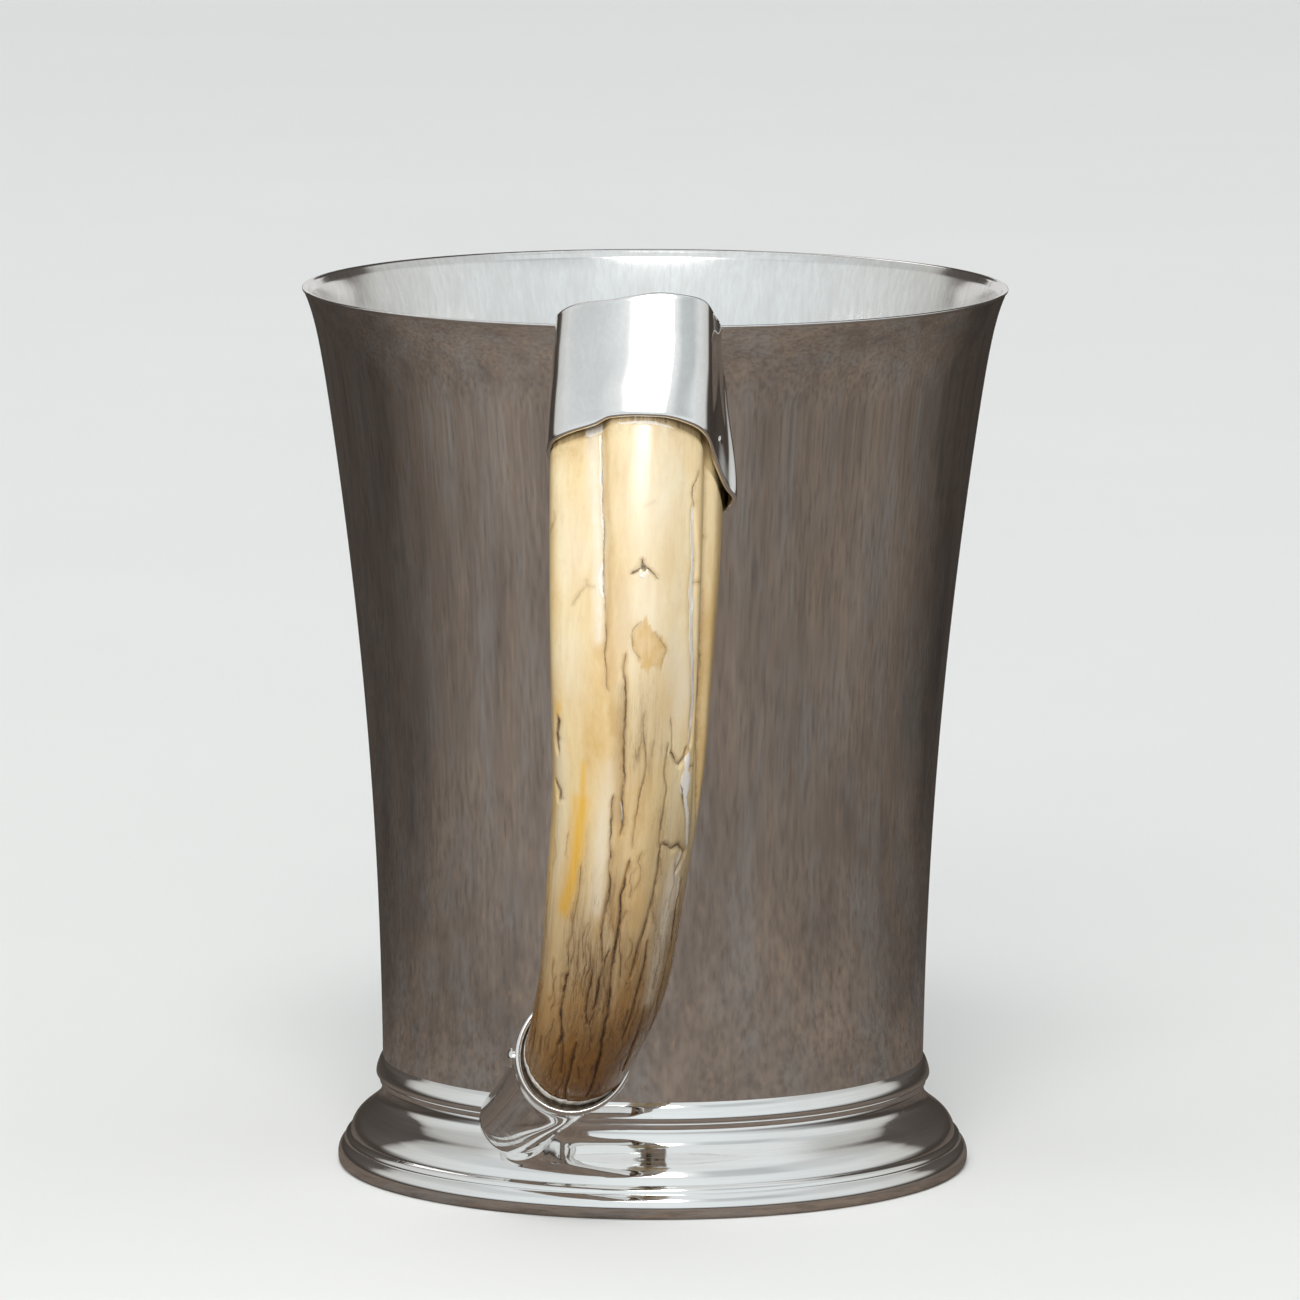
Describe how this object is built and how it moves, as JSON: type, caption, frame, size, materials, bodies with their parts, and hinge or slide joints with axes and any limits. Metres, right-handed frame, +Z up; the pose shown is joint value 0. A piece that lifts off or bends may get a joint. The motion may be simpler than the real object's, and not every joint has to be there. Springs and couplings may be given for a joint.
{
  "type": "tankard",
  "caption": "Flared silver drinking tankard on a moulded foot, with a curved tusk handle held by a silver collar at the rim and a silver socket at the foot.",
  "frame": {"origin": "bottom centre of the whole object's box, on the surface the foot stands on", "axes": "+Z up, the handle towards -Y, the cup's axis on the +Y side of the origin, +X to the right for someone who faces the handle"},
  "size_m": [0.1114, 0.1538, 0.1475],
  "materials": {
    "silver": "polished silver with fine handling scratches",
    "tusk": "polished dentine, cream above and brown with long cracks towards the tip",
    "cement": "matt bedding cement"
  },
  "bodies": {
    "root": {"body_wall": "silver", "floor_disc": "silver", "girdle_moulding": "silver", "foot_dome": "silver", "foot_rim_wire": "silver", "tusk": "tusk", "upper_collar": "silver", "collar_cap": "silver", "collar_saddle": "silver", "upper_pin": "silver", "root_cement": "cement", "lower_socket": "silver", "lower_pin": "silver", "tip_cement": "cement"}
  },
  "joints": []
}
